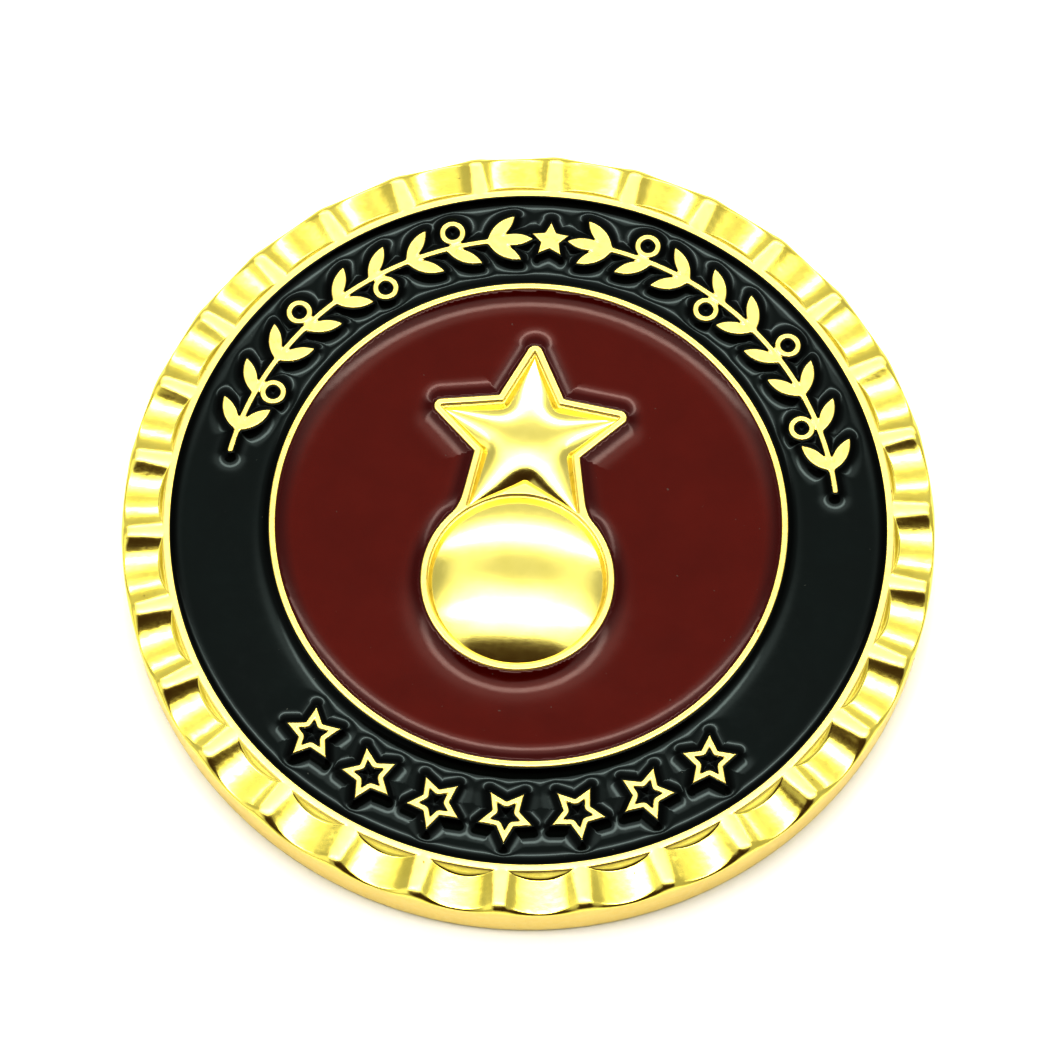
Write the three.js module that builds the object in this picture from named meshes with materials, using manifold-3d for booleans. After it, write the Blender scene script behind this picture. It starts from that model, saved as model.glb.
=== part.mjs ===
// Challenge coin, 50 mm: one gold-plated struck body with a scalloped rim, and the cured
// enamel fills that sit in its recesses. Millimetres, +Z up, the coin lying face up.
// Origin: middle of the reverse, on the plane that the reverse rim rests on. +Y is the
// top of the design.
import * as THREE from 'three';
import { mergeVertices } from 'three/addons/utils/BufferGeometryUtils.js';
import Module from 'manifold-3d';

const wasm = await Module();
wasm.setup();

// ---- driving dimensions ----
const outerRadius = 25.0;
const faceHeight = 4.0;            // plane of every flat metal top on the front
const domeProud = 0.65;            // the domed disc stands this far above that plane
const edgeRound = 0.35;            // corner between the side wall and either face

const scallopCount = 30;
const scallopInner = 22.5;         // radius of the wall at the inner end of a scallop
const scallopWidth = 4.3;
const scallopDepthInner = 0.5;
const scallopDepthOuter = 0.66;
const scallopFullness = 0.625;     // 0.5 is a half ellipse; larger is closer to a parabola

const lipInner = 22.0;             // the black channel lies between lip and inner ring
const ringOuter = 16.0;
const ringInner = 15.5;
const channelDepth = 0.9;          // metal floor under the enamel, below faceHeight
const enamelDrop = 0.42;           // enamel surface, below faceHeight
const enamelGap = 0.05;            // clearance between an enamel fill and the metal

const reverseRim = 2.6;            // width of the flat rim that the coin rests on
const reverseDrop = 0.5;           // recess of the reverse field
const reverseRingRadius = 16.0;
const reverseRingWidth = 0.6;
const reverseRingDrop = 0.1;       // the ring stays clear of the surface under the coin

const garlandRadius = 19.0;        // middle of the ornament band
const stemWidth = 0.42;
const sprigStart = 170;            // degrees; the second sprig is its mirror image
const sprigEnd = 97;
const leafPitch = 8;
const leafPairs = 9;
const leafLength = 2.5;
const leafWidth = 0.92;
const leafTilt = 38;               // degrees away from the stem
const berryEvery = 2;              // every second pair swaps one leaf for a berry
const berryOuter = 0.85;
const berryInner = 0.42;
const berryOffset = 1.0;           // berry centre to stem

const bandStarCount = 7;
const bandStarPitch = 13;
const bandStarRadius = 1.8;
const bandStarStroke = 0.42;
const topStarRadius = 1.3;

const emblemX = -0.4;              // the emblem sits a little left of the coin's middle
const discY = -3.9;
const discRadius = 5.45;
const starY = 5.4;
const starRadius = 5.8;
const outlineWidth = 0.55;
const emblemFloorDrop = 0.45;      // foot of the dome and the star, below faceHeight
const starProud = 0.1;

const starNotch = 0.5;             // notch radius over tip radius, for every star
const latheSides = 60;
const discSides = 20;
const rootDepth = 0.4;              // raised metal runs this far into the metal under it
const weldOverlap = 0.01;          // joined solids share this much, so that they fuse
const deg = Math.PI / 180;

// ---- materials ----
const gold = new THREE.MeshStandardMaterial({ color: 0xe2c565, roughness: 0.14, metalness: 1 });
const black = new THREE.MeshStandardMaterial({ color: 0x151917, roughness: 0.16, metalness: 0 });
const maroon = new THREE.MeshStandardMaterial({ color: 0x5b1f18, roughness: 0.16, metalness: 0 });

// ---- solids ----
function solid(geometry) {
  geometry.deleteAttribute('normal');
  geometry.deleteAttribute('uv');
  const merged = mergeVertices(geometry, 1e-5);
  return new wasm.Manifold(new wasm.Mesh({
    numProp: 3,
    vertProperties: new Float32Array(merged.attributes.position.array),
    triVerts: new Uint32Array(merged.index.array),
  }));
}

function named(name, manifold, material) {
  const { vertProperties, triVerts, numProp } = manifold.getMesh();
  const geometry = new THREE.BufferGeometry();
  const positions = new THREE.InterleavedBuffer(vertProperties, numProp);
  geometry.setAttribute('position', new THREE.InterleavedBufferAttribute(positions, 3, 0));
  geometry.setIndex(new THREE.BufferAttribute(triVerts, 1));
  const mesh = new THREE.Mesh(geometry, material);
  mesh.name = name;
  return mesh;
}

function turned(points) {
  const profile = points.map(([radius, z]) => new THREE.Vector2(radius, z));
  const geometry = new THREE.LatheGeometry(profile, latheSides);
  geometry.rotateX(Math.PI / 2);
  return solid(geometry);
}

function prism(shape, low, high, curveSegments = 2) {
  const settings = { depth: high - low, bevelEnabled: false, curveSegments };
  const geometry = new THREE.ExtrudeGeometry(shape, settings);
  geometry.translate(0, 0, low);
  return solid(geometry);
}

function union(solids) {
  return solids.reduce((whole, piece) => whole.add(piece));
}

// ---- outlines, each about its own origin ----
function leafOutline(grow) {
  const length = leafLength + 2 * grow;
  const width = leafWidth + 2 * grow;
  const radius = (length * length + width * width) / (4 * width);
  const half = Math.asin(length / (2 * radius));
  const shape = new THREE.Shape();
  shape.absarc(0, width / 2 - radius, radius, Math.PI / 2 - half, Math.PI / 2 + half, false);
  shape.absarc(0, radius - width / 2, radius, -Math.PI / 2 - half, -Math.PI / 2 + half, false);
  return shape;
}

function starOutline(radius) {
  const corners = [];
  for (let i = 0; i < 10; i += 1) {
    const reach = i % 2 === 0 ? radius : radius * starNotch;
    const angle = (90 + 36 * i) * deg;
    corners.push(new THREE.Vector2(reach * Math.cos(angle), reach * Math.sin(angle)));
  }
  return new THREE.Shape(corners);
}

// tip radius of the star whose edges lie a given distance outside those of another star
function grownStarRadius(radius, grow) {
  const notch = radius * starNotch;
  const chord = Math.hypot(radius - notch * Math.cos(36 * deg), notch * Math.sin(36 * deg));
  const edgeDistance = (radius * notch * Math.sin(36 * deg)) / chord;
  return (radius * (edgeDistance + grow)) / edgeDistance;
}

function discOutline(radius) {
  const shape = new THREE.Shape();
  shape.absarc(0, 0, radius, 0, 2 * Math.PI, false);
  return shape;
}

function stemOutline(grow) {
  const half = stemWidth / 2 + grow;
  const shape = new THREE.Shape();
  shape.absarc(0, 0, garlandRadius + half, sprigEnd * deg, sprigStart * deg, false);
  shape.absarc(0, 0, garlandRadius - half, sprigStart * deg, sprigEnd * deg, true);
  return shape;
}

// ---- places on the ornament band ----
function onBand(piece, angle, offset = 0, spin = 0) {
  return piece.rotate([0, 0, spin])
    .translate([0, garlandRadius + offset, 0])
    .rotate([0, 0, angle - 90]);
}

// one entry per leaf or berry of the left sprig: the side is +1 outward and -1 inward
function sprigPlan() {
  const plan = [];
  for (let i = 0; i < leafPairs; i += 1) {
    const angle = sprigStart - 4 - i * leafPitch;
    const hasBerry = i % berryEvery === 1;
    const berrySide = i % 4 === 1 ? -1 : 1;
    for (const side of [1, -1]) {
      plan.push({ angle, side, berry: hasBerry && side === berrySide });
    }
  }
  return plan;
}

function leafAt({ angle, side }, low, high, grow) {
  const reach = leafLength / 2;
  const piece = prism(leafOutline(grow), low, high)
    .translate([reach, 0, 0])
    .rotate([0, 0, side * leafTilt]);
  return onBand(piece, angle);
}

function berryAt({ angle, side }, low, high, radius) {
  return onBand(prism(discOutline(radius), low, high, 6), angle - 2, side * berryOffset);
}

function bandStarAngles() {
  const first = 270 - (bandStarPitch * (bandStarCount - 1)) / 2;
  return Array.from({ length: bandStarCount }, (_, i) => first + i * bandStarPitch);
}

// raised ornament of the band, grown sideways by a clearance when it cuts the enamel
function garland(low, high, grow) {
  const plan = sprigPlan();
  const sprig = [prism(stemOutline(grow), low, high, 9)];
  for (const spot of plan) {
    const piece = spot.berry
      ? berryAt(spot, low, high, berryOuter + grow)
      : leafAt(spot, low, high, grow);
    sprig.push(piece);
  }
  const tipLeaf = prism(leafOutline(grow), low, high);
  sprig.push(onBand(tipLeaf, sprigEnd));
  const left = union(sprig);
  const pieces = [left, left.mirror([1, 0, 0])];
  const topStar = prism(starOutline(grownStarRadius(topStarRadius, grow)), low, high);
  pieces.push(onBand(topStar, 90));
  const bandStar = prism(starOutline(grownStarRadius(bandStarRadius, grow)), low, high);
  for (const angle of bandStarAngles()) {
    pieces.push(onBand(bandStar, angle));
  }
  return union(pieces);
}

function berrySpots() {
  return sprigPlan().filter((spot) => spot.berry);
}

// the enclosed pockets of the ornament, shrunk by a clearance when they are enamel
function pockets(low, high, shrink) {
  const berries = berrySpots().map((spot) => berryAt(spot, low, high, berryInner - shrink));
  const mirrored = berries.map((berry) => berry.mirror([1, 0, 0]));
  const starRadiusInside = grownStarRadius(bandStarRadius, -bandStarStroke - shrink);
  const starPocket = prism(starOutline(starRadiusInside), low, high);
  const stars = bandStarAngles().map((angle) => onBand(starPocket, angle));
  return { berries: [...berries, ...mirrored], stars };
}

// outside of the emblem's raised outline: the disc and the star behind one line
function emblemOutside(low, high, grow) {
  const reach = outlineWidth + grow;
  const disc = prism(discOutline(discRadius + reach), low, high, discSides)
    .translate([emblemX, discY, 0]);
  const sharp = prism(starOutline(grownStarRadius(starRadius, reach)), low, high);
  const tips = prism(discOutline(starRadius + reach), low - 1, high + 1, discSides);
  return disc.add(sharp.intersect(tips).translate([emblemX, starY, 0]));
}

function emblemDome() {
  const low = faceHeight - emblemFloorDrop;
  const rise = emblemFloorDrop + domeProud;
  const sphereRadius = (discRadius * discRadius + rise * rise) / (2 * rise);
  const steps = 8;
  const profile = [[0, low - rootDepth], [discRadius, low - rootDepth]];
  for (let i = 0; i <= steps; i += 1) {
    const radius = discRadius * (1 - i / steps);
    const sag = Math.sqrt(sphereRadius * sphereRadius - radius * radius) - (sphereRadius - rise);
    profile.push([radius, low + sag]);
  }
  return turned(profile).translate([emblemX, discY, 0]);
}

// five-pointed star with a raised middle: a ten-sided cone whose odd corners are drawn in
function emblemStar() {
  const low = faceHeight - emblemFloorDrop;
  const rise = emblemFloorDrop + starProud;
  const ridged = new THREE.ConeGeometry(starRadius, rise, 10, 1);
  ridged.rotateX(Math.PI / 2);
  const position = ridged.attributes.position;
  for (let i = 0; i < position.count; i += 1) {
    const turn = Math.atan2(position.getY(i), position.getX(i)) / (36 * deg);
    const corner = Math.round(turn - 2.5);
    if (corner % 2 !== 0) {
      position.setX(i, position.getX(i) * starNotch);
      position.setY(i, position.getY(i) * starNotch);
    }
  }
  ridged.translate(0, 0, low + rise / 2);
  const base = prism(starOutline(starRadius), low - rootDepth, low + weldOverlap);
  return base.add(solid(ridged)).translate([emblemX, starY, 0]);
}

// ---- rim ----
function scallopCutter() {
  const halfWidth = scallopWidth / 2;
  const steps = 10;
  const corners = [];
  for (let i = 0; i <= steps; i += 1) {
    const across = -Math.cos((Math.PI * i) / steps);
    const depth = scallopDepthInner * Math.pow(1 - across * across, scallopFullness);
    corners.push(new THREE.Vector2(halfWidth * across, -depth));
  }
  corners.push(new THREE.Vector2(halfWidth, 1));
  corners.push(new THREE.Vector2(-halfWidth, 1));
  const length = outerRadius - scallopInner;
  const fall = Math.atan((scallopDepthOuter - scallopDepthInner) / length) / deg;
  return prism(new THREE.Shape(corners), 0, length + 1)
    .rotate([90 + fall, 0, 0])
    .translate([0, -scallopInner, faceHeight]);
}

function coinBlank() {
  const ringHalf = reverseRingWidth / 2;
  const corner = edgeRound * (1 - Math.SQRT1_2);
  const enamelFloor = faceHeight - channelDepth;
  return turned([
    [0, reverseDrop],
    [reverseRingRadius - ringHalf, reverseDrop],
    [reverseRingRadius - ringHalf, reverseRingDrop],
    [reverseRingRadius + ringHalf, reverseRingDrop],
    [reverseRingRadius + ringHalf, reverseDrop],
    [outerRadius - reverseRim, reverseDrop],
    [outerRadius - reverseRim, 0],
    [outerRadius - edgeRound, 0],
    [outerRadius - corner, corner],
    [outerRadius, edgeRound],
    [outerRadius, faceHeight - edgeRound],
    [outerRadius - corner, faceHeight - corner],
    [outerRadius - edgeRound, faceHeight],
    [lipInner, faceHeight],
    [lipInner, enamelFloor],
    [ringOuter, enamelFloor],
    [ringOuter, faceHeight],
    [ringInner, faceHeight],
    [ringInner, enamelFloor],
    [0, enamelFloor],
  ]);
}

function coinBody() {
  const floor = faceHeight - channelDepth - 0.1;
  let body = coinBlank();
  const cutter = scallopCutter();
  for (let i = 0; i < scallopCount; i += 1) {
    body = body.subtract(cutter.rotate([0, 0, (360 * (i + 0.5)) / scallopCount]));
  }
  const cut = pockets(faceHeight - channelDepth, faceHeight + 1, 0);
  const raised = garland(floor, faceHeight, 0).subtract(union([...cut.berries, ...cut.stars]));
  const starWell = prism(starOutline(starRadius), faceHeight - emblemFloorDrop, faceHeight + 1)
    .translate([emblemX, starY, 0]);
  const discWell = prism(discOutline(discRadius), faceHeight - emblemFloorDrop, faceHeight + 1, discSides)
    .translate([emblemX, discY, 0]);
  const outline = emblemOutside(floor, faceHeight, 0).subtract(starWell).subtract(discWell);
  return body.add(raised).add(outline).add(emblemDome()).add(emblemStar());
}

// ---- enamel ----
const enamelLow = faceHeight - channelDepth + enamelGap;
const enamelHigh = faceHeight - enamelDrop;

function blackEnamel() {
  const ring = turned([
    [ringOuter + enamelGap, enamelLow],
    [lipInner - enamelGap, enamelLow],
    [lipInner - enamelGap, enamelHigh],
    [ringOuter + enamelGap, enamelHigh],
    [ringOuter + enamelGap, enamelLow],
  ]);
  return ring.subtract(garland(enamelLow - 1, enamelHigh + 1, enamelGap));
}

function maroonEnamel() {
  const disc = turned([
    [0, enamelLow],
    [ringInner - enamelGap, enamelLow],
    [ringInner - enamelGap, enamelHigh],
    [0, enamelHigh],
  ]);
  return disc.subtract(emblemOutside(enamelLow - 1, enamelHigh + 1, enamelGap));
}

// ---- assembly ----
const coin = new THREE.Group();
coin.add(named('coin_body', coinBody(), gold));
coin.add(named('black_enamel_ring', blackEnamel(), black));
coin.add(named('maroon_enamel_disc', maroonEnamel(), maroon));
const fills = pockets(enamelLow, enamelHigh, enamelGap);
fills.berries.forEach((fill, i) => coin.add(named(`berry_enamel_${i + 1}`, fill, black)));
fills.stars.forEach((fill, i) => coin.add(named(`star_enamel_${i + 1}`, fill, black)));

export default coin;
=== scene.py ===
import math

import bpy
import numpy as np
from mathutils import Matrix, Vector
from mathutils.geometry import delaunay_2d_cdt


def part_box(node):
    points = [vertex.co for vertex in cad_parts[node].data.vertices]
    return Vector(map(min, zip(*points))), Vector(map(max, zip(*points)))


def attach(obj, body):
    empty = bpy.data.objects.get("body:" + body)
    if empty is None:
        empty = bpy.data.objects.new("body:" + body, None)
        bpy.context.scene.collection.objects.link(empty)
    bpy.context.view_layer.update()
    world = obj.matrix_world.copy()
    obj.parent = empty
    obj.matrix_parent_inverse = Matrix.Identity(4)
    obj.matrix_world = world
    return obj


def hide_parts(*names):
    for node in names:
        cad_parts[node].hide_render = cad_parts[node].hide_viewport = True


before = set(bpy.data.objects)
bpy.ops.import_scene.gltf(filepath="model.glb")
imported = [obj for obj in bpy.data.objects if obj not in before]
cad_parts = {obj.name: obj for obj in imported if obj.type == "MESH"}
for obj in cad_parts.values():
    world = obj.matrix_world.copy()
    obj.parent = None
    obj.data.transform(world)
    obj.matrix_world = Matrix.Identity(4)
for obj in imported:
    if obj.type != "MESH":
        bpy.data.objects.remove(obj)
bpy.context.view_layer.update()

# Challenge coin. Shapes are worked out in millimetres, in the CAD frame: the coin lies
# face up on z = 0 and +Y is the top of its design.
MM = 0.001
body_low, body_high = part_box("coin_body")

# ---- driving dimensions, in mm and degrees ----
OUTER = (body_high.x - body_low.x) / 2 / MM
DOME_PROUD = 0.65
FACE = body_high.z / MM - DOME_PROUD
LIP_INNER = 22.0
LIP_OUTER = 22.45
RING_OUTER = 16.0
RING_INNER = 15.5
CHANNEL_FLOOR = FACE - 0.9
ORNAMENT_ROOT = CHANNEL_FLOOR - 0.1
ENAMEL = FACE - 0.42
ENAMEL_BOTTOM = CHANNEL_FLOOR + 0.02

# radii of rounded corners
LIP_EDGE = 0.06
RING_EDGE = 0.16
GARLAND_EDGE = 0.15
OUTLINE_EDGE = 0.2
WALL_EDGE = 0.35
REVERSE_EDGE = 0.1

# rim scallops: a gently hollow floor between steeper flanks
SCALLOPS = 30
PITCH = 360 / SCALLOPS
SCALLOP_HALF_ANGLE = 5.2
SCALLOP_WIDENING = 0.4
FLANK_ANGLE = 1.1
FLANK_SHARE = 0.46
SCALLOP_DEPTH_INNER = 0.5
SCALLOP_DEPTH_OUTER = 0.66
LIP_WALL_SLOPE = 1.4
SHOULDER_SOFTNESS = 0.1
FLOOR_SOFTNESS = 0.16
CORNER_SOFTNESS = 0.02
# how much scallops differ from one another, as shares of their depth and flank width
DEPTH_VARIATION = 0.05
FLANK_VARIATION = 0.08
# width and drop of the rounded outer edge, in a hollow and at a rib
HOLLOW_EDGE = (0.15, 0.12)
RIB_NOSE = (0.7, 0.45)

REVERSE_RIM = 2.6
REVERSE_DROP = 0.5
REVERSE_RING = 16.0
REVERSE_RING_HALF = 0.3

GARLAND_RADIUS = 19.0
STEM_WIDTH = 0.42
SPRIG_START = 170.0
SPRIG_END = 97.0
LEAF_PITCH = 8.0
LEAF_PAIRS = 9
LEAF_LENGTH = 2.5
LEAF_WIDTH = 0.92
LEAF_TILT = 38.0
BERRY_OUTER = 0.85
BERRY_INNER = 0.42
BERRY_OFFSET = 1.0
BAND_STARS = 7
BAND_STAR_PITCH = 13.0
BAND_STAR_RADIUS = 1.8
BAND_STAR_STROKE = 0.42
TOP_STAR_RADIUS = 1.3
GARLAND_BLEND = 0.05

EMBLEM_X = -0.4
DISC_Y = -3.9
DISC_RADIUS = 5.45
STAR_Y = 5.4
STAR_RADIUS = 5.8
OUTLINE = 0.55
EMBLEM_BLEND = 0.2
STAR_NOTCH = 0.5
DOME_FOOT = 0.45
STAR_FOOT = 0.45
STAR_SLOPE = 0.62

# enamel meniscus: its climb at the metal, and how far from the metal it reaches
BLACK_MENISCUS = (0.39, 0.95)
MAROON_MENISCUS = (0.41, 1.55)
# as shares of that reach: how softly it ends, where the painted shade in the moat beside the metal
# fades out, and where the mesh has its rows of points
MENISCUS_TAIL = 0.65
MOAT_SHADE_FADE = (0.25, 0.6)
CLIMB_LEVELS = (0.1, 0.22, 0.34, 0.45, 0.55, 0.65, 0.76, 0.88, 1.02, 1.2, 1.45)
# how far the enamel goes on under the metal's edge
EDGE_TUCK = 0.02
# softness of the meniscus in corners between two metal edges
ENAMEL_BLEND = 0.1

# ---- colours and finishes ----
GOLD_DARK = (0.86, 0.765, 0.24)
GOLD_LIGHT = (0.895, 0.80, 0.27)
GOLD_RIM_DARK = (0.83, 0.71, 0.16)
GOLD_RIM_LIGHT = (0.87, 0.76, 0.2)
GOLD_SATIN = (0.87, 0.70, 0.225)
GOLD_SPECK = (0.35, 0.2, 0.05)
# lowest and highest roughness of polished gold, of struck gold, and added by the satin finish
POLISH = (0.12, 0.17)
STRUCK_POLISH = (0.155, 0.21)
SATIN = (0.14, 0.24)

BLACK_DARK = (0.0002, 0.0018, 0.0012)
BLACK_LIGHT = (0.0006, 0.0034, 0.0026)
# painted shade in the moat beside the metal: the black enamel turns metallic there and reflects only
# this dark colour
BLACK_MOAT_SHADE = (0.008, 0.0095, 0.0085)
BLACK_GLOSS = 0.35
BLACK_GLOSS_TINT = (0.85, 1.0, 0.94)
MAROON_DARK = (0.093, 0.0055, 0.002)
MAROON_LIGHT = (0.107, 0.007, 0.0027)
# painted shade in the moat beside the metal: a darker maroon there
MAROON_MOAT_SHADE = (0.055, 0.0008, 0.0003)
MAROON_GLOSS = 0.3
MAROON_GLOSS_TINT = (1.0, 0.88, 0.78)
ENAMEL_POLISH = (0.06, 0.14)
DUST = (0.12, 0.12, 0.1)

FLOOR_PAPER = (0.95, 0.95, 0.94)

# ---- light tent: brightness, where 1 is paper white ----
STRIP_LEVEL = 3.2
TUBE_LEVEL = 12.0
BETWEEN_LEVEL = 1.25
MIDDLE_LEVEL = 0.95
WALL_LEVEL = 0.7
FAR_LEVEL = 0.9
LEFT_LEVEL = 1.3
OPENING_LEVEL = 0.09
DIM_TINT = (1.0, 0.5, 0.12)
# Lights and openings, each laid over the ones before. Directions lean tilt degrees from straight
# up towards a bearing, and half widths are in degrees.
# bearing, tilt, half across, half along, softness, squareness, brightness
SKY_PATCHES = (
    (0, 60, 60, 11, 0.5, 2.0, FAR_LEVEL),
    (-108, 58, 26, 15, 0.3, 2.0, LEFT_LEVEL),
    (0, 19.5, 35, 34, 0.2, 3.0, BETWEEN_LEVEL),
    (0, 1.5, 34, 14.5, 0.6, 3.0, STRIP_LEVEL),
    (0, 44.5, 33, 8, 0.5, 3.0, STRIP_LEVEL),
    (0, 1.5, 32, 3.4, 0.6, 3.0, TUBE_LEVEL),
    (0, 44.5, 32, 2.4, 0.6, 3.0, TUBE_LEVEL),
    (0, 24.5, 20, 9.5, 0.5, 2.0, MIDDLE_LEVEL),
    (180, 21, 27, 9, 0.1, 4.0, OPENING_LEVEL),
    (165, 45, 32, 24, 0.1, 3.0, OPENING_LEVEL),
)

# ---- camera ----
CAMERA_AZIMUTH = 3.4
CAMERA_ELEVATION = 68.8
CAMERA_ROLL = 0.78
CAMERA_DISTANCE = 245.3
CAMERA_LOOK = (0.10, -0.70)
CAMERA_LENS = 135.85
CAMERA_SENSOR = 36
CONTRAST_GAMMA = 0.714

DEG = math.pi / 180


# ---------------------------------------------------------------- distance fields
# Each takes arrays x, y in mm and is negative inside the shape.
def local(x, y, centre_x, centre_y, spin):
    dx, dy = x - centre_x, y - centre_y
    c, s = math.cos(spin * DEG), math.sin(spin * DEG)
    return c * dx + s * dy, c * dy - s * dx


def circle_field(x, y, centre_x, centre_y, radius):
    return np.hypot(x - centre_x, y - centre_y) - radius


def star_field(x, y, radius, notch=STAR_NOTCH):
    """Five-pointed star about the origin with a tip on +Y; notch is notch over tip radius."""
    k1 = (math.cos(36 * DEG), -math.sin(36 * DEG))
    k2 = (-k1[0], k1[1])
    px, py = np.abs(x), y
    for kx, ky in (k1, k2):
        fold = 2 * np.maximum(kx * px + ky * py, 0)
        px, py = px - fold * kx, py - fold * ky
    px = np.abs(px)
    py = py - radius
    bx, by = notch * -k1[1], notch * k1[0] - 1
    along = np.clip((px * bx + py * by) / (bx * bx + by * by), 0, radius)
    side = np.sign(py * bx - px * by)
    return np.hypot(px - bx * along, py - by * along) * side


def leaf_field(x, y, length, width, tip_round=0.08):
    """Pointed oval along x with slightly rounded tips."""
    half = length / 2 - tip_round
    bulge = width / 2 - tip_round
    radius = (half * half / bulge + bulge) / 2
    offset = radius - bulge
    px, py = np.abs(x), np.abs(y)
    at_tip = (px - half) * offset > py * half
    tip = np.hypot(px - half, py)
    side = np.hypot(px, py + offset) - radius
    return np.where(at_tip, tip, side) - tip_round


def arc_field(x, y, radius, start, end, width):
    """Round-ended stroke along a circle about the origin, from start to end degrees."""
    angle = np.degrees(np.arctan2(y, x)) % 360
    nearest = np.clip(angle, start, end) * DEG
    return np.hypot(x - radius * np.cos(nearest), y - radius * np.sin(nearest)) - width / 2


def blend(fields, softness):
    """Smooth union of distance fields."""
    stack = np.stack(fields)
    low = stack.min(0)
    return low - softness * np.log(np.exp((low - stack) / softness).sum(0))


# ---------------------------------------------------------------- ornament layout
def on_band(angle, offset=0.0):
    radius = GARLAND_RADIUS + offset
    return radius * math.cos(angle * DEG), radius * math.sin(angle * DEG)


def sprig_plan():
    """(angle, side, is berry) for each leaf or berry of the left sprig, side +1 outward."""
    plan = []
    for i in range(LEAF_PAIRS):
        angle = SPRIG_START - 4 - i * LEAF_PITCH
        berry_side = -1 if i % 4 == 1 else 1
        for side in (1, -1):
            plan.append((angle, side, i % 2 == 1 and side == berry_side))
    return plan


def leaf_place(angle, side):
    """Centre and direction of a leaf that grows from the stem at an angle."""
    x, y = on_band(angle)
    heading = angle - 90 + side * LEAF_TILT
    reach = LEAF_LENGTH / 2
    return x + reach * math.cos(heading * DEG), y + reach * math.sin(heading * DEG), heading


def berry_place(angle, side):
    return on_band(angle - 2, side * BERRY_OFFSET)


def band_star_angles():
    first = 270 - BAND_STAR_PITCH * (BAND_STARS - 1) / 2
    return [first + i * BAND_STAR_PITCH for i in range(BAND_STARS)]


def sprig_fields(x, y):
    """The left sprig, for points already mirrored onto the left half."""
    fields = [arc_field(x, y, GARLAND_RADIUS, SPRIG_END, SPRIG_START, STEM_WIDTH)]
    for angle, side, is_berry in sprig_plan():
        if is_berry:
            cx, cy = berry_place(angle, side)
            middle = (BERRY_OUTER + BERRY_INNER) / 2
            stroke = BERRY_OUTER - BERRY_INNER
            fields.append(np.abs(circle_field(x, y, cx, cy, middle)) - stroke / 2)
        else:
            px, py = local(x, y, *leaf_place(angle, side))
            fields.append(leaf_field(px, py, LEAF_LENGTH, LEAF_WIDTH))
    cx, cy = on_band(SPRIG_END)
    px, py = local(x, y, cx, cy, SPRIG_END - 90)
    fields.append(leaf_field(px, py, LEAF_LENGTH, LEAF_WIDTH))
    return fields


def garland_field(x, y):
    fields = sprig_fields(-np.abs(x), y)
    cx, cy = on_band(90)
    fields.append(star_field(x - cx, y - cy, TOP_STAR_RADIUS))
    for angle in band_star_angles():
        px, py = local(x, y, *on_band(angle), angle - 90)
        outside = star_field(px, py, BAND_STAR_RADIUS)
        fields.append(np.abs(outside + BAND_STAR_STROKE / 2) - BAND_STAR_STROKE / 2)
    return blend(fields, GARLAND_BLEND)


def emblem_field(x, y):
    """Distance to the outside of the emblem's raised outline."""
    disc = circle_field(x, y, EMBLEM_X, DISC_Y, DISC_RADIUS)
    star = star_field(x - EMBLEM_X, y - STAR_Y, STAR_RADIUS)
    return blend([disc, star], EMBLEM_BLEND) - OUTLINE


# ---------------------------------------------------------------- mesh building
def add_share(mesh, name, values):
    """Stores a share from 0 to 1 at each vertex, for a material to read by its name."""
    mesh.attributes.new(name, "FLOAT", "POINT").data.foreach_set("value", values)


def make_piece(name, vertices, faces, material, replaces, normals=None, satin=None):
    """Adds a mesh given in millimetres, and ties it to the frame. satin is the share of satin
    finish at each vertex."""
    mesh = bpy.data.meshes.new(name)
    mesh.from_pydata((np.asarray(vertices) * MM).tolist(), [], faces)
    mesh.materials.append(material)
    mesh.shade_smooth()
    if normals is not None:
        mesh.normals_split_custom_set_from_vertices(normals.tolist())
    if satin is not None:
        add_share(mesh, "satin", satin)
    piece = bpy.data.objects.new(name, mesh)
    bpy.context.scene.collection.objects.link(piece)
    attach(piece, "root")
    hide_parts(*replaces)
    return piece


def thinned(points, spacing):
    """One point for each square cell of a grid: the one nearest to the cell's middle."""
    cells = np.floor(points / spacing).astype(int)
    off = np.abs(points / spacing - cells - 0.5).max(1)
    order = np.argsort(off)
    _, first = np.unique(cells[order], axis=0, return_index=True)
    return points[order[first]]


def honeycomb(bounds, spacing):
    x0, x1, y0, y1 = bounds
    rows = np.arange(y0, y1, spacing * 0.866)
    columns = np.arange(x0, x1, spacing)
    x, y = np.meshgrid(columns, rows)
    x[1::2] += spacing / 2
    return x.ravel(), y.ravel()


def gradient(function, x, y, step=0.002):
    gx = (function(x + step, y) - function(x - step, y)) / (2 * step)
    gy = (function(x, y + step) - function(x, y - step)) / (2 * step)
    return gx, gy


def on_level(field, x, y, values, level, band):
    """Points near a level line of a field, moved onto the line."""
    near = np.abs(values - level) < band
    x, y = x[near], y[near]
    for _ in range(3):
        miss = field(x, y) - level
        gx, gy = gradient(field, x, y)
        size = np.maximum(gx * gx + gy * gy, 0.2)
        x, y = x - miss * gx / size, y - miss * gy / size
    good = np.abs(field(x, y) - level) < 0.003
    return np.stack([x[good], y[good]], 1)


def scattered(bounds, within, field, levels, fills):
    """Points for a height map: along level lines of a field, given as (level, spacing), and
    over the ground between, given as (lowest, highest field value, spacing)."""
    step = 0.05
    x, y = np.meshgrid(np.arange(bounds[0], bounds[1], step), np.arange(bounds[2], bounds[3], step))
    x, y = x.ravel(), y.ravel()
    wanted = within(x, y)
    x, y = x[wanted], y[wanted]
    values = field(x, y)
    points = []
    for level, spacing in levels:
        points.append(thinned(on_level(field, x, y, values, level, step * 0.7), spacing))
    for low, high, spacing in fills:
        x, y = honeycomb(bounds, spacing)
        wanted = within(x, y)
        x, y = x[wanted], y[wanted]
        values = field(x, y)
        between = (values > low) & (values < high)
        points.append(np.stack([x[between], y[between]], 1))
    return np.concatenate(points)


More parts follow.
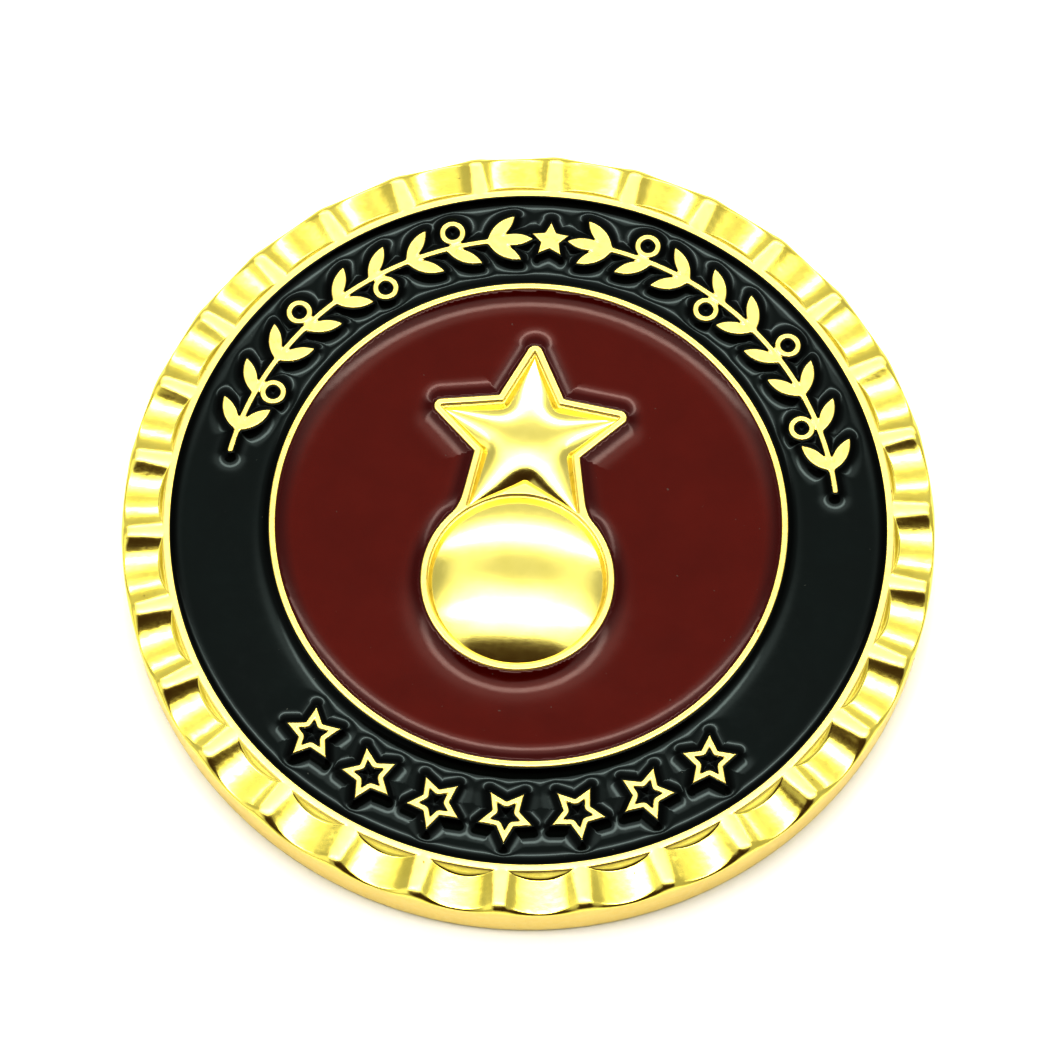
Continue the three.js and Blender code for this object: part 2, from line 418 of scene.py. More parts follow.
def relief(points, keep, height, bottom):
    """Closed solid between a height map and a flat bottom, over the triangles to keep."""
    flat = [Vector(point) for point in points.tolist()]
    verts, _, faces, *_ = delaunay_2d_cdt(flat, [], [], 0, 1e-6)
    xy = np.array([tuple(v) for v in verts])
    triangles = np.array(faces)
    a, b, c = (xy[triangles[:, k]] for k in range(3))
    centres = (a + b + c) / 3
    area = (b[:, 0] - a[:, 0]) * (c[:, 1] - a[:, 1]) - (b[:, 1] - a[:, 1]) * (c[:, 0] - a[:, 0])
    triangles[area < 0] = triangles[area < 0][:, ::-1]
    triangles = triangles[keep(centres[:, 0], centres[:, 1]) & (np.abs(area) > 1e-9)]
    used, index = np.unique(triangles, return_inverse=True)
    triangles = index.reshape(triangles.shape)
    x, y = xy[used].T
    z = height(x, y)
    gx, gy = gradient(height, x, y)
    top_normals = np.stack([-gx, -gy, np.ones_like(gx)], 1)
    top_normals /= np.linalg.norm(top_normals, axis=1)[:, None]
    count = len(used)
    edges = np.concatenate([triangles[:, [0, 1]], triangles[:, [1, 2]], triangles[:, [2, 0]]])
    known = set(map(tuple, edges.tolist()))
    rim = np.array([(p, q) for p, q in known if (q, p) not in known])
    rim = rim[np.lexsort(rim.T)]
    vertices = np.concatenate([np.stack([x, y, z], 1), np.stack([x, y, 0 * z + bottom], 1)])
    faces = triangles.tolist() + (triangles[:, ::-1] + count).tolist()
    faces += [[q, p, p + count, q + count] for p, q in rim.tolist()]
    normals = np.concatenate([top_normals, np.tile([0.0, 0.0, -1.0], (count, 1))])
    along = vertices[rim[:, 1]] - vertices[rim[:, 0]]
    outward = np.stack([along[:, 1], -along[:, 0], 0 * along[:, 0]], 1)
    outward /= np.maximum(np.linalg.norm(outward, axis=1), 1e-9)[:, None]
    normals[rim[:, 0] + count] = outward
    normals[rim[:, 1] + count] = outward
    return vertices, faces, normals


def rounded(depth_inside, radius):
    """How far a top surface has dropped at a distance inside a round-edged outline."""
    short = np.clip(radius - np.maximum(depth_inside, 0.003), 0, radius)
    return radius - np.sqrt(radius * radius - short * short)


def meniscus(distance, climb, reach):
    """How far the enamel has climbed at a distance from the metal: steeply beside it, then easing
    out into the level surface."""
    tail = MENISCUS_TAIL * reach

    def nearness(away):
        return reach - away + np.hypot(reach - away, tail)

    return climb * (nearness(np.maximum(distance, 0)) / nearness(0)) ** 2


# ---------------------------------------------------------------- materials
def node_material(name):
    material = bpy.data.materials.new(name)
    material.use_nodes = True
    nodes = material.node_tree.nodes
    return material, nodes, material.node_tree.links, nodes["Principled BSDF"]


def calculate(nodes, links, operation, first, second=None):
    """One math node; each input is a socket or a number."""
    node = nodes.new("ShaderNodeMath")
    node.operation = operation
    for socket, value in zip(node.inputs, (first, second)):
        if isinstance(value, (int, float)):
            socket.default_value = value
        elif value is not None:
            links.new(value, socket)
    return node.outputs["Value"]


def own_place(nodes):
    """The object's own coordinates, in metres."""
    place = nodes.get("place")
    if place is None:
        place = nodes.new("ShaderNodeTexCoord")
        place.name = "place"
    return place.outputs["Object"]


def polar_place(nodes, links, around, along):
    """Coordinates round and along the coin's radius, each scaled per metre, for streaks."""
    split = nodes.new("ShaderNodeSeparateXYZ")
    links.new(own_place(nodes), split.inputs["Vector"])
    x, y = split.outputs["X"], split.outputs["Y"]
    turn = calculate(nodes, links, "ARCTAN2", y, x)
    radius = nodes.new("ShaderNodeVectorMath")
    radius.operation = "LENGTH"
    links.new(own_place(nodes), radius.inputs[0])
    joined_up = nodes.new("ShaderNodeCombineXYZ")
    across = calculate(nodes, links, "MULTIPLY", turn, around * OUTER * MM)
    outward = calculate(nodes, links, "MULTIPLY", radius.outputs["Value"], along)
    links.new(across, joined_up.inputs["X"])
    links.new(outward, joined_up.inputs["Y"])
    return joined_up.outputs["Vector"]


def noise(nodes, links, scale, detail=3.0, roughness=0.5, place=None):
    """Noise over the object's own coordinates; scale is per metre."""
    texture = nodes.new("ShaderNodeTexNoise")
    texture.inputs["Scale"].default_value = scale
    texture.inputs["Detail"].default_value = detail
    texture.inputs["Roughness"].default_value = roughness
    links.new(place or own_place(nodes), texture.inputs["Vector"])
    return texture.outputs["Fac"]


def ramp(nodes, links, source, low, high, first, second):
    """Maps source from low..high to first..second, which are numbers or colours."""
    if isinstance(first, tuple):
        node = nodes.new("ShaderNodeValToRGB")
        for element, place, colour in zip(node.color_ramp.elements, (low, high), (first, second)):
            element.position = place
            element.color = (*colour, 1)
        links.new(source, node.inputs["Fac"])
        return node.outputs["Color"]
    node = nodes.new("ShaderNodeMapRange")
    for socket, value in zip(("From Min", "From Max", "To Min", "To Max"), (low, high, first, second)):
        node.inputs[socket].default_value = value
    links.new(source, node.inputs["Value"])
    return node.outputs["Result"]


def mixed(nodes, links, amount, first, second):
    """Mixes two colours; second is a plain colour."""
    node = nodes.new("ShaderNodeMix")
    node.data_type = "RGBA"
    links.new(amount, node.inputs["Factor"])
    links.new(first, node.inputs["A"])
    node.inputs["B"].default_value = (*second, 1)
    return node.outputs["Result"]


def add_bump(nodes, links, source, strength, distance, normal=None):
    bump = nodes.new("ShaderNodeBump")
    bump.inputs["Strength"].default_value = strength
    bump.inputs["Distance"].default_value = distance
    links.new(source, bump.inputs["Height"])
    if normal is not None:
        links.new(normal, bump.inputs["Normal"])
    return bump.outputs["Normal"]


def gold_material(name, streaked):
    """Thin gold plate: polished in the hollows and domes, satin where the attribute says so."""
    material, nodes, links, shader = node_material(name)
    shader.inputs["Metallic"].default_value = 1.0
    patches = noise(nodes, links, 700, 4)
    dark, light = (GOLD_RIM_DARK, GOLD_RIM_LIGHT) if streaked else (GOLD_DARK, GOLD_LIGHT)
    colour = ramp(nodes, links, patches, 0.3, 0.7, dark, light)
    specks = ramp(nodes, links, noise(nodes, links, 1900, 3, 0.6), 0.735, 0.76, 0.0, 1.0)
    finish = nodes.new("ShaderNodeAttribute")
    finish.attribute_name = "satin"
    colour = mixed(nodes, links, finish.outputs["Fac"], colour, GOLD_SATIN)
    links.new(mixed(nodes, links, specks, colour, GOLD_SPECK), shader.inputs["Base Color"])
    smears = noise(nodes, links, 2600, 5, 0.65)
    polished = ramp(nodes, links, smears, 0.3, 0.75, *(STRUCK_POLISH if streaked else POLISH))
    coarser = ramp(nodes, links, smears, 0.3, 0.75, *SATIN)
    satin = calculate(nodes, links, "MULTIPLY", finish.outputs["Fac"], coarser)
    links.new(calculate(nodes, links, "ADD", polished, satin), shader.inputs["Roughness"])
    fine = noise(nodes, links, 9000, 3)
    normal = add_bump(nodes, links, fine, 0.15, 0.00001)
    waves = noise(nodes, links, 900 if streaked else 450, 2, 0.5)
    normal = add_bump(nodes, links, waves, 0.5, 0.00004 if streaked else 0.00002, normal)
    if streaked:
        streaks = noise(nodes, links, 1.0, 2, 0.5, polar_place(nodes, links, 1100, 200))
        normal = add_bump(nodes, links, streaks, 0.3, 0.00003, normal)
    links.new(normal, shader.inputs["Normal"])
    return material


def enamel_material(name, dark, light, moat_shade_colour, gloss, gloss_tint, metallic_moat_shade):
    """Glossy enamel, with painted shade in the moat beside the metal: a deeper colour there. Where
    the moat is metallic, its colour is all that it reflects, so that it is duller than the open
    enamel, which is painted shade as well."""
    material, nodes, links, shader = node_material(name)
    clouds = noise(nodes, links, 350, 4)
    colour = ramp(nodes, links, clouds, 0.3, 0.7, dark, light)
    moat_shade = nodes.new("ShaderNodeAttribute")
    moat_shade.attribute_name = "moat_shade"
    # painted shade: a darker colour in the moat beside the metal
    colour = mixed(nodes, links, moat_shade.outputs["Fac"], colour, moat_shade_colour)
    dust = ramp(nodes, links, noise(nodes, links, 2300, 2, 0.5), 0.76, 0.79, 0.0, 0.5)
    links.new(mixed(nodes, links, dust, colour, DUST), shader.inputs["Base Color"])
    smears = noise(nodes, links, 1500, 5, 0.6)
    links.new(ramp(nodes, links, smears, 0.3, 0.8, *ENAMEL_POLISH), shader.inputs["Roughness"])
    peel = noise(nodes, links, 1100, 2)
    links.new(add_bump(nodes, links, peel, 0.25, 0.000015), shader.inputs["Normal"])
    # painted shade: a metallic moat reflects only its own dark colour, so it looks duller
    if metallic_moat_shade:
        links.new(moat_shade.outputs["Fac"], shader.inputs["Metallic"])
    shader.inputs["Specular IOR Level"].default_value = gloss
    shader.inputs["Specular Tint"].default_value = (*gloss_tint, 1)
    return material


GOLD = gold_material("gold_plate", False)
STRUCK_GOLD = gold_material("gold_plate_struck", True)
BLACK = enamel_material(
    "black_enamel", BLACK_DARK, BLACK_LIGHT, BLACK_MOAT_SHADE, BLACK_GLOSS, BLACK_GLOSS_TINT, True
)
MAROON = enamel_material(
    "maroon_enamel", MAROON_DARK, MAROON_LIGHT, MAROON_MOAT_SHADE, MAROON_GLOSS, MAROON_GLOSS_TINT, False
)


# ---------------------------------------------------------------- coin blank
def rim_columns():
    """For every column of the rim's mesh: its scallop's middle angle, and its offset from that
    middle, in degrees. Columns are closer together on the flanks."""
    flank = SCALLOP_HALF_ANGLE - FLANK_ANGLE
    half = np.concatenate([
        np.linspace(0, flank - 0.5, 9, endpoint=False),
        np.linspace(flank - 0.5, SCALLOP_HALF_ANGLE + 0.5, 14),
        [PITCH / 2],
    ])
    section = np.concatenate([-half[:0:-1], half[:-1]])
    middles = np.repeat(np.arange(SCALLOPS) * PITCH, len(section))
    return middles, np.tile(section, SCALLOPS)


def outwardness(radius):
    return np.clip((radius - LIP_OUTER) / (OUTER - LIP_OUTER), 0, 1)


def scallop_half_angle(radius):
    """Half of a hollow's width, in degrees: the hollows widen outward."""
    return SCALLOP_HALF_ANGLE + SCALLOP_WIDENING * (outwardness(radius) - 0.5)


def spread(offsets, radius):
    """Offsets of the mesh's columns at a radius, so that they follow the flanks."""
    half = scallop_half_angle(radius)
    size = np.abs(offsets)
    rib = half + (size - SCALLOP_HALF_ANGLE) * (PITCH / 2 - half) / (PITCH / 2 - SCALLOP_HALF_ANGLE)
    return np.sign(offsets) * np.where(size < SCALLOP_HALF_ANGLE, size * half / SCALLOP_HALF_ANGLE, rib)


def soft_min(first, second, softness):
    gap = first - second
    return (first + second - np.sqrt(gap * gap + softness * softness)) / 2


def hollow_depth(middles, offsets, radius):
    """Depth of the hollows below the rim's flat, negative on the ribs."""
    full = SCALLOP_DEPTH_INNER + (SCALLOP_DEPTH_OUTER - SCALLOP_DEPTH_INNER) * outwardness(radius)
    full = full * (1 + DEPTH_VARIATION * np.sin(middles * 0.41))
    uneven = np.sin(middles * 0.23 + 1.9 * np.sign(offsets))
    flank_angle = FLANK_ANGLE * (1 + FLANK_VARIATION * uneven)
    half = scallop_half_angle(radius)
    size = np.abs(offsets)
    floor = 1 - (1 - FLANK_SHARE) * (size / (half - flank_angle)) ** 2
    flank = FLANK_SHARE * (half - size) / flank_angle
    return soft_min(floor, flank, FLOOR_SOFTNESS) * full


def scallop_depth(middles, offsets, radius):
    """Depth below the rim's flat; it fades to zero on the ribs and the lip."""
    wall = (radius - LIP_OUTER) * LIP_WALL_SLOPE
    depth = soft_min(hollow_depth(middles, offsets, radius), wall, CORNER_SOFTNESS)
    return (depth + np.sqrt(depth * depth + SHOULDER_SOFTNESS ** 2)) / 2


def quarter(steps):
    return [90 * i / steps * DEG for i in range(steps + 1)]


def face_stations(middles, columns):
    """Rows of the rim's upper side, as angles, radii and heights, from the outer edge inward."""
    ones = np.ones_like(columns)
    outer_depth = scallop_depth(middles, spread(columns, OUTER), OUTER)
    share = np.clip(outer_depth / SCALLOP_DEPTH_OUTER, 0, 1)
    nose_width, nose_drop = (rib + (hollow - rib) * share for rib, hollow in zip(RIB_NOSE, HOLLOW_EDGE))
    inner_depth = hollow_depth(middles, spread(columns, LIP_OUTER), LIP_OUTER)
    wall_width = np.clip(inner_depth, 0, 1) / LIP_WALL_SLOPE
    rows = []

    def add_row(radius, drop=0.0):
        radius = radius * ones
        offsets = spread(columns, radius)
        depth = scallop_depth(middles, offsets, radius)
        ripple = 0.003 * share * np.sin(5.7 * radius * (middles + offsets) * DEG * 3 + middles)
        rows.append((middles + offsets, radius, FACE - depth - drop + ripple))

    for turn in reversed(quarter(8)):
        add_row(OUTER - nose_width * (1 - math.sin(turn)), nose_drop * (1 - math.cos(turn)))
    start, end = OUTER - nose_width, LIP_OUTER + wall_width + 0.2
    for i in range(1, 9):
        add_row(start + (end - start) * i / 8)
    for wall_share, extra in ((1, 0.12), (1, 0.07), (0.88, 0.03), (0.6, 0.02), (0.3, 0.01), (0.1, 0.0)):
        add_row(LIP_OUTER + wall_width * wall_share + extra)
    for radius in (LIP_OUTER - 0.03, LIP_OUTER - 0.07, LIP_OUTER - 0.13, LIP_INNER + 0.12):
        add_row(radius)
    for turn in quarter(3):
        add_row(LIP_INNER + LIP_EDGE * (1 - math.sin(turn)), LIP_EDGE * (1 - math.cos(turn)))
    rows.append((middles + columns, LIP_INNER * ones, CHANNEL_FLOOR * ones))
    return rows


def under_stations(ones):
    """(radius, z) arrays of the side wall and the reverse, from the wall's top to the middle."""
    stations = []

    def add_row(radius, height):
        stations.append((radius * ones, height * ones))

    for height in (2.6, 1.6, 0.8):
        add_row(OUTER, height)
    for turn in quarter(5):
        add_row(OUTER - WALL_EDGE * (1 - math.cos(turn)), WALL_EDGE * (1 - math.sin(turn)))
    rim_inner = OUTER - REVERSE_RIM
    add_row(rim_inner + 0.3, 0)
    for turn in quarter(3):
        add_row(rim_inner + REVERSE_EDGE * (1 - math.sin(turn)), REVERSE_EDGE * (1 - math.cos(turn)))
    add_row(rim_inner, REVERSE_DROP)
    add_row(REVERSE_RING + REVERSE_RING_HALF, REVERSE_DROP)
    for side, turns in ((1, reversed(quarter(3))), (-1, quarter(3))):
        for turn in turns:
            half = REVERSE_RING_HALF - REVERSE_EDGE * (1 - math.sin(turn))
            add_row(REVERSE_RING + side * half, REVERSE_EDGE * (2 - math.cos(turn)))
    add_row(REVERSE_RING - REVERSE_RING_HALF, REVERSE_DROP)
    add_row(REVERSE_RING / 2, REVERSE_DROP)
    return stations


def build_blank():
    middles, columns = rim_columns()
    angles = middles + columns
    ones = np.ones_like(angles)
    rings = list(reversed(face_stations(middles, columns)))
    rings += [(angles, radius, z) for radius, z in under_stations(ones)]
    count = len(angles)
    vertices = [np.stack([r * np.cos(a * DEG), r * np.sin(a * DEG), z], 1) for a, r, z in rings]
    vertices.append(np.array([[0, 0, CHANNEL_FLOOR], [0, 0, REVERSE_DROP]]))
    vertices = np.concatenate(vertices)
    column = np.arange(count)
    following = (column + 1) % count
    faces = []
    for ring in range(len(rings) - 1):
        a, b = ring * count, (ring + 1) * count
        faces += np.stack([a + column, a + following, b + following, b + column], 1).tolist()
    top, under = len(rings) * count, len(rings) * count + 1
    last = (len(rings) - 1) * count
    faces += [[top, j, i] for i, j in zip(column.tolist(), following.tolist())]
    faces += [[under, last + i, last + j] for i, j in zip(column.tolist(), following.tolist())]
    flat = np.clip((vertices[:, 2] - (FACE - 0.12)) / 0.08, 0, 1)
    side = np.clip((np.hypot(vertices[:, 0], vertices[:, 1]) - (OUTER - 0.03)) / 0.02, 0, 1)
    return make_piece(
        "rim_and_body", vertices, faces, STRUCK_GOLD, ["coin_body"],
        satin=np.maximum(flat, side),
    )


def lathe_ring(name, profile, segments, material, replaces):
    """Closed ring from a closed (radius, z) profile."""
    turns = [2 * math.pi * i / segments for i in range(segments)]
    vertices = [(r * math.cos(t), r * math.sin(t), z) for t in turns for r, z in profile]
    size = len(profile)
    faces = []
    for i in range(segments):
        a, b = i * size, ((i + 1) % segments) * size
        for k in range(size):
            m = (k + 1) % size
            faces.append([a + k, a + m, b + m, b + k])
    satin = np.ones(len(vertices))
    return make_piece(name, vertices, faces, material, replaces, satin=satin)


def build_inner_ring():
    profile = [(RING_INNER, ORNAMENT_ROOT), (RING_OUTER, ORNAMENT_ROOT)]
    profile.append((RING_OUTER, FACE - 2 * RING_EDGE))
    for radius, side, turns in ((RING_OUTER, -1, quarter(5)), (RING_INNER, 1, reversed(quarter(5)))):
        for turn in turns:
            inset = RING_EDGE * (1 - math.cos(turn))
            profile.append((radius + side * inset, FACE - RING_EDGE * (1 - math.sin(turn))))
    profile.append((RING_INNER, FACE - 2 * RING_EDGE))
    return lathe_ring("inner_ring", profile[::-1], 360, GOLD, ["coin_body"])


# ---------------------------------------------------------------- raised ornament
def in_band(x, y):
    radius = np.hypot(x, y)
    return (radius > RING_OUTER - 0.15) & (radius < LIP_INNER + 0.15)


def build_garland():
    def height(x, y):
        return FACE - rounded(-garland_field(x, y), GARLAND_EDGE)

    reach = GARLAND_RADIUS + 2.2
    points = scattered(
        (-reach, reach, -reach, reach),
        in_band,
        garland_field,
        [(0.0, 0.07), (-0.015, 0.07), (-0.045, 0.07), (-0.09, 0.08), (-0.15, 0.08)],
        [(-1.0, -0.19, 0.11)],
    )
    vertices, faces, normals = relief(
        points, lambda x, y: garland_field(x, y) < 0, height, ORNAMENT_ROOT
    )
    satin = np.ones(len(vertices))
    return make_piece("garland", vertices, faces, GOLD, ["coin_body"], normals, satin)


def outline_distance(x, y):
    """Distance from the nearer edge of the emblem's raised outline, positive on the outline."""
    disc = circle_field(x, y, EMBLEM_X, DISC_Y, DISC_RADIUS)
    star = star_field(x - EMBLEM_X, y - STAR_Y, STAR_RADIUS)
    return np.minimum(-emblem_field(x, y), np.minimum(disc, star))


def around_emblem(x, y):
    return (np.abs(x - EMBLEM_X) < 7.2) & (y > DISC_Y - 7) & (y < STAR_Y + 7)


def build_outline():
    def height(x, y):
        return FACE - rounded(outline_distance(x, y), OUTLINE_EDGE)

    points = scattered(
        (-8, 8, -12, 13),
        around_emblem,
        outline_distance,
        [(level, 0.08) for level in (0.0, 0.012, 0.04, 0.08, 0.13, 0.2)],
        [(0.23, 1, 0.1)],
    )
    return relief(points, lambda x, y: outline_distance(x, y) > 0, height, ORNAMENT_ROOT)


def build_dome():
    """The plain domed disc: part of a sphere, on a short skirt."""
    rise = DOME_PROUD + DOME_FOOT
    sphere = (DISC_RADIUS ** 2 + rise ** 2) / (2 * rise)
    steps, segments = 26, 120
    vertices = [(EMBLEM_X, DISC_Y, FACE + DOME_PROUD)]
    normals = [(0.0, 0.0, 1.0)]
    for i in range(1, steps + 1):
        radius = DISC_RADIUS * i / steps
        drop = sphere - math.sqrt(sphere ** 2 - radius ** 2)
        for k in range(segments):
            turn = 2 * math.pi * k / segments
            out_x, out_y = math.cos(turn), math.sin(turn)
            x, y = EMBLEM_X + radius * out_x, DISC_Y + radius * out_y
            vertices.append((x, y, FACE + DOME_PROUD - drop))
            lean = radius / sphere
            normals.append((lean * out_x, lean * out_y, math.sqrt(1 - lean * lean)))
    for k in range(segments):
        turn = 2 * math.pi * k / segments
        x, y = EMBLEM_X + DISC_RADIUS * math.cos(turn), DISC_Y + DISC_RADIUS * math.sin(turn)
        vertices.append((x, y, ORNAMENT_ROOT))
        normals.append((math.cos(turn), math.sin(turn), 0.0))
    vertices.append((EMBLEM_X, DISC_Y, ORNAMENT_ROOT))
    normals.append((0.0, 0.0, -1.0))
    bottom = len(vertices) - 1
    faces = []
    for k in range(segments):
        m = (k + 1) % segments
        faces.append([0, 1 + k, 1 + m])
        for i in range(steps):
            a, b = 1 + i * segments, 1 + (i + 1) * segments
            faces.append([a + k, b + k, b + m, a + m])
        last = 1 + steps * segments
        faces.append([bottom, last + m, last + k])
    return np.array(vertices), faces, np.array(normals)


def star_outline(radius):
    """Corners of the five-pointed star about the origin, anticlockwise from the top tip."""
    corners = []
    for i in range(10):
        reach = radius if i % 2 == 0 else radius * STAR_NOTCH
        turn = (90 + 36 * i) * DEG
        corners.append((reach * math.cos(turn), reach * math.sin(turn)))
    return corners


def soft_distance(x, y, corners):
    """A smooth stand-in for the distance inside a polygon: equal to it near the outline, and
    without creases in the middle. It is two over the mean-value weight of the outline."""
    weight = np.zeros_like(x)
    for (ax, ay), (bx, by) in zip(corners, corners[1:] + corners[:1]):
        px, py, qx, qy = ax - x, ay - y, bx - x, by - y
        p, q = np.hypot(px, py) + 1e-9, np.hypot(qx, qy) + 1e-9
        half_turn = np.arctan2(px * qy - py * qx, px * qx + py * qy) / 2
        weight += np.tan(half_turn) * (1 / p + 1 / q)
    return 2 / np.maximum(weight, 1e-6)


def build_puffed_star():
    corners = star_outline(STAR_RADIUS)

    def inside(x, y):
        return -star_field(x - EMBLEM_X, y - STAR_Y, STAR_RADIUS)

    def height(x, y):
        return FACE - STAR_FOOT + STAR_SLOPE * soft_distance(x - EMBLEM_X, y - STAR_Y, corners)

    gap = 0.012
    levels = [(level, 0.1) for level in (gap, 0.05, 0.12, 0.22)]
    points = scattered((-8, 8, -2, 12), around_emblem, inside, levels, [(0.27, 9, 0.15)])
    return relief(points, lambda x, y: inside(x, y) > gap / 2, height, ORNAMENT_ROOT)


def joined(solids):
    """Several closed shells as the vertices, faces and normals of one mesh."""
    vertices, faces, normals = [], [], []
    count = 0
    for solid_vertices, solid_faces, solid_normals in solids:
        vertices.append(solid_vertices)
        normals.append(solid_normals)
        faces += [[index + count for index in face] for face in solid_faces]
        count += len(solid_vertices)
    return np.concatenate(vertices), faces, np.concatenate(normals)


def build_emblem():
    outline = build_outline()
    vertices, faces, normals = joined([outline, build_dome(), build_puffed_star()])
    satin = np.zeros(len(vertices))
    satin[:len(outline[0])] = 1
    return make_piece("emblem", vertices, faces, GOLD, ["coin_body"], normals, satin)


# ---------------------------------------------------------------- enamel
def build_enamel(name, metal_distance, bounds, keep, material, climb):
    """A pool of enamel whose surface climbs where it meets the metal. climb is one of the pairs
    of meniscus sizes above."""
    def height(x, y):
        return ENAMEL + meniscus(metal_distance(x, y), *climb)

    reach = climb[1]
    climbs = [share * reach for share in CLIMB_LEVELS]
    levels = [(-EDGE_TUCK, 0.08)] + [(level, 0.13) for level in climbs]
    fills = [(0.05, climbs[-1], 0.16), (climbs[-1] + 0.15, 9, 0.5)]
    points = scattered(bounds, keep, metal_distance, levels, fills)

    def wanted(x, y):
        return (metal_distance(x, y) > -EDGE_TUCK) & keep(x, y)

    vertices, faces, normals = relief(points, wanted, height, ENAMEL_BOTTOM)
    piece = make_piece(name, vertices, faces, material, [name], normals)
    places = np.array(vertices)
    # share of painted shade at each vertex: full beside the metal, fading out further away
    near, far = (share * reach for share in MOAT_SHADE_FADE)
    moat_shade = (far - metal_distance(places[:, 0], places[:, 1])) / (far - near)
    add_share(piece.data, "moat_shade", np.clip(moat_shade, 0, 1))
    return piece


def pockets():
    """(node name, centre x, centre y, spin, kind) of each enclosed enamel pool."""
    found = []
    berries = [berry_place(angle, side) for angle, side, is_berry in sprig_plan() if is_berry]
    for i, (x, y) in enumerate(berries + [(-x, y) for x, y in berries]):
        found.append((f"berry_enamel_{i + 1}", x, y, 0.0, "berry"))
    for i, angle in enumerate(band_star_angles()):
        found.append((f"star_enamel_{i + 1}", *on_band(angle), angle - 90, "star"))
    return found


def black_distance(x, y):
    """Distance from the metal anywhere in the black channel."""
    radius = np.hypot(x, y)
    return blend([garland_field(x, y), LIP_INNER - radius, radius - RING_OUTER], ENAMEL_BLEND)


def maroon_distance(x, y):
    """Distance from the metal anywhere inside the inner ring."""
    return blend([emblem_field(x, y), RING_INNER - np.hypot(x, y)], ENAMEL_BLEND)


def build_black_ring():
    berries = [(cx, cy) for _, cx, cy, _, kind in pockets() if kind == "berry"]

    def keep(x, y):
        kept = in_band(x, y)
        for angle in band_star_angles():
            px, py = local(x, y, *on_band(angle), angle - 90)
            kept &= star_field(px, py, BAND_STAR_RADIUS) > -0.1
        for cx, cy in berries:
            kept &= np.hypot(x - cx, y - cy) > BERRY_OUTER - 0.1
        return kept

    reach = LIP_INNER + 0.1
    bounds = (-reach, reach, -reach, reach)
    build_enamel(
        "black_enamel_ring", black_distance, bounds, keep, BLACK, BLACK_MENISCUS
    )


def build_maroon_disc():
    reach = RING_INNER + 0.1
    bounds = (-reach, reach, -reach, reach)

    def keep(x, y):
        return np.hypot(x, y) < reach

    build_enamel(
        "maroon_enamel_disc", maroon_distance, bounds, keep, MAROON, MAROON_MENISCUS
    )


def build_pockets():
    for name, cx, cy, spin, kind in pockets():
        def keep(x, y, cx=cx, cy=cy, spin=spin, kind=kind):
            px, py = local(x, y, cx, cy, spin)
            if kind == "berry":
                return np.hypot(px, py) < BERRY_INNER + 0.1
            return star_field(px, py, BAND_STAR_RADIUS) < -BAND_STAR_STROKE / 2

        reach = 1.5
        bounds = (cx - reach, cx + reach, cy - reach, cy + reach)
        build_enamel(name, black_distance, bounds, keep, BLACK, BLACK_MENISCUS)


# ---------------------------------------------------------------- surroundings
def add_floor():
    """A plain sheet of pale paper; its half width is in metres."""
    mesh = bpy.data.meshes.new("floor")
    half = 3.0
    corners = [(-half, -half, 0), (half, -half, 0), (half, half, 0), (-half, half, 0)]
    mesh.from_pydata(corners, [], [(0, 1, 2, 3)])
    material, _, _, shader = node_material("floor_paper")
    shader.inputs["Base Color"].default_value = (*FLOOR_PAPER, 1)
    shader.inputs["Roughness"].default_value = 0.9
    mesh.materials.append(material)
    floor = bpy.data.objects.new("floor", mesh)
    bpy.context.scene.collection.objects.link(floor)


def patch(nodes, links, direction, bearing, tilt, half_across, half_along, soft, squareness=2.0):
    """One inside a soft-edged patch of sky, zero outside it. Its middle leans tilt degrees from
    straight up towards a bearing, which turns from +Y towards +X. Half widths are in degrees."""
    for axis, turn in (("Z_AXIS", bearing), ("X_AXIS", tilt)):
        turned = nodes.new("ShaderNodeVectorRotate")
        turned.rotation_type = axis
        turned.inputs["Angle"].default_value = turn * DEG
        links.new(direction, turned.inputs["Vector"])
        direction = turned.outputs["Vector"]
    split = nodes.new("ShaderNodeSeparateXYZ")
    links.new(direction, split.inputs["Vector"])
    depth = calculate(nodes, links, "MAXIMUM", split.outputs["Z"], 0.02)
    terms = []
    for axis, half in (("X", half_across), ("Y", half_along)):
        across = calculate(nodes, links, "DIVIDE", split.outputs[axis], depth)
        across = calculate(nodes, links, "DIVIDE", across, math.tan(half * DEG))
        across = calculate(nodes, links, "ABSOLUTE", across)
        terms.append(calculate(nodes, links, "POWER", across, squareness))
    reach = calculate(nodes, links, "POWER", calculate(nodes, links, "ADD", *terms), 1 / squareness)
    edge = nodes.new("ShaderNodeMapRange")
    edge.interpolation_type = "SMOOTHSTEP"
    for socket, value in zip(("From Min", "From Max", "To Min", "To Max"), (1 - soft, 1 + soft, 1, 0)):
        edge.inputs[socket].default_value = value
    links.new(reach, edge.inputs["Value"])
    return edge.outputs["Result"]


def layer(nodes, links, under, mask, level):
    """Mixes a brightness over another where the mask is one."""
    change = calculate(nodes, links, "SUBTRACT", level, under)
    change = calculate(nodes, links, "MULTIPLY", change, mask)
    return calculate(nodes, links, "ADD", under, change)


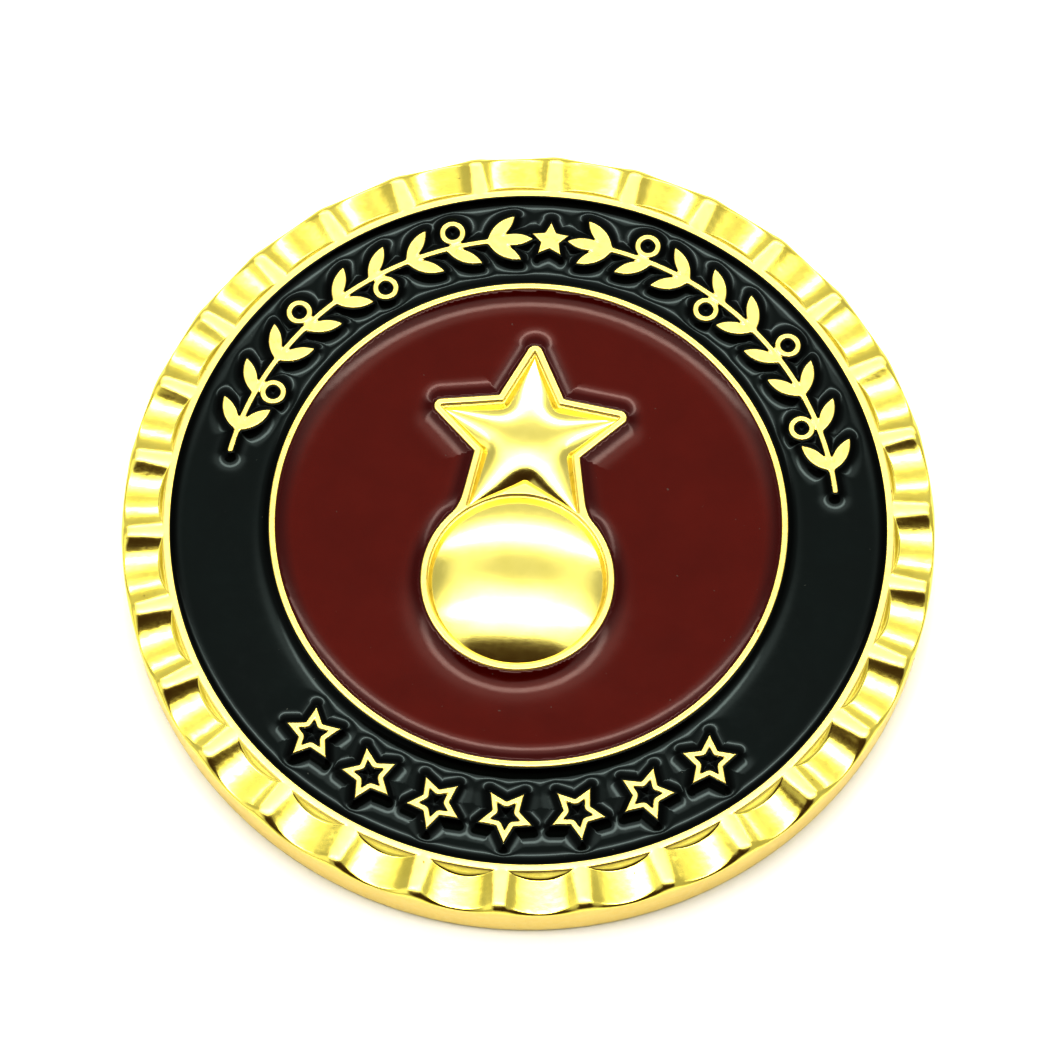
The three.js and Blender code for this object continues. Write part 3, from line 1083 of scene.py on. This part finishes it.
def add_world():
    """A white light tent: two bright lamp tubes overhead, pale cloth between them, paler walls
    down to the table, and a dark brown opening on the near side."""
    world = bpy.data.worlds.new("light_tent")
    bpy.context.scene.world = world
    world.use_nodes = True
    nodes, links = world.node_tree.nodes, world.node_tree.links
    direction = nodes.new("ShaderNodeTexCoord").outputs["Generated"]
    split = nodes.new("ShaderNodeSeparateXYZ")
    links.new(direction, split.inputs["Vector"])
    level = ramp(nodes, links, split.outputs["Z"], 0.05, 0.3, 1.0, WALL_LEVEL)
    for *shape, brightness in SKY_PATCHES:
        level = layer(nodes, links, level, patch(nodes, links, direction, *shape), brightness)
    links.new(level, nodes["Background"].inputs["Strength"])
    tint = ramp(nodes, links, level, 0.05, 0.6, DIM_TINT, (1.0, 1.0, 1.0))
    links.new(tint, nodes["Background"].inputs["Color"])


def add_camera():
    """A long lens above the near side, turned a little round the coin."""
    azimuth, elevation = CAMERA_AZIMUTH * DEG, CAMERA_ELEVATION * DEG
    look_x, look_y = CAMERA_LOOK
    turn_x = look_x * math.cos(azimuth) - look_y * math.sin(azimuth)
    turn_y = look_x * math.sin(azimuth) + look_y * math.cos(azimuth)
    target = Vector((turn_x, turn_y, FACE)) * MM
    back = Vector((
        math.sin(azimuth) * math.cos(elevation),
        -math.cos(azimuth) * math.cos(elevation),
        math.sin(elevation),
    ))
    data = bpy.data.cameras.new("camera")
    data.sensor_width = CAMERA_SENSOR
    data.lens = CAMERA_LENS
    data.clip_start = 0.01
    data.clip_end = 20
    camera = bpy.data.objects.new("camera", data)
    camera.location = target + back * CAMERA_DISTANCE * MM
    look = (-back).to_track_quat("-Z", "Y")
    camera.rotation_euler = look.to_euler()
    camera.rotation_euler.rotate_axis("Z", CAMERA_ROLL * DEG)
    bpy.context.scene.collection.objects.link(camera)
    bpy.context.scene.camera = camera


build_blank()
build_inner_ring()
build_garland()
build_emblem()
build_black_ring()
build_maroon_disc()
build_pockets()
add_floor()
add_world()
add_camera()
bpy.context.scene.view_settings.view_transform = "Standard"
bpy.context.scene.view_settings.gamma = CONTRAST_GAMMA
